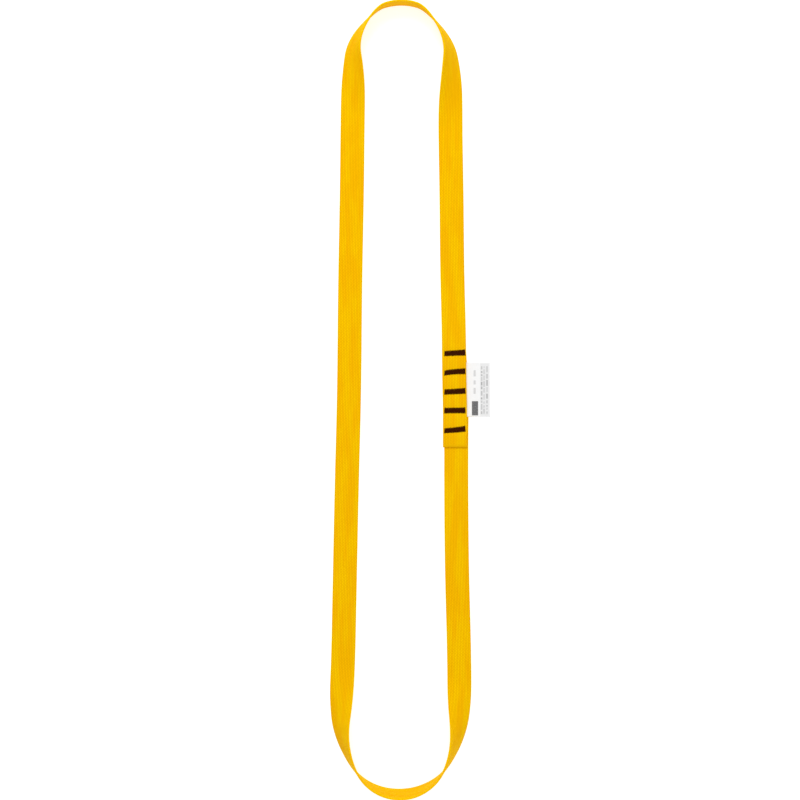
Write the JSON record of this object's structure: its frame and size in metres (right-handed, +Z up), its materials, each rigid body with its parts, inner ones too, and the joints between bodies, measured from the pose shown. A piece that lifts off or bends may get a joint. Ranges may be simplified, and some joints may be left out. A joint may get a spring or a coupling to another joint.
{
  "type": "round sling",
  "caption": "Endless flat-webbing lifting sling laid out as a long narrow loop, its ends overlapped and sewn by bar tacks that also hold a side label.",
  "frame": {"origin": "on the surface that the sling lies on, under the middle of its overall box", "axes": "+Y along the sling's length towards the end nearest the first bar tack, +X to the side where the label sticks out, +Z up from the surface"},
  "size_m": [0.1195, 0.5896, 0.0181],
  "materials": {
    "webbing": "matte woven polyester webbing",
    "thread": "dark bonded sewing thread",
    "label": "white satin-woven ribbon"
  },
  "bodies": {
    "sling": {"webbing_strap": "webbing", "label_sewn_tab": "label", "needle_thread_1": "thread", "needle_thread_2": "thread", "needle_thread_3": "thread", "needle_thread_4": "thread", "needle_thread_5": "thread", "bobbin_thread_1": "thread", "bobbin_thread_2": "thread", "bobbin_thread_3": "thread", "bobbin_thread_4": "thread", "bobbin_thread_5": "thread"},
    "label": {"label_flap": "label"}
  },
  "joints": [
    {"name": "label_fold", "type": "hinge", "parent": "sling", "child": "label", "pos_m": [0.0442, 0.008, 0.0022], "axis": [0, -1, 0], "range_deg": [-6, 130], "stiffness_Nm_per_rad": 0.002}
  ]
}
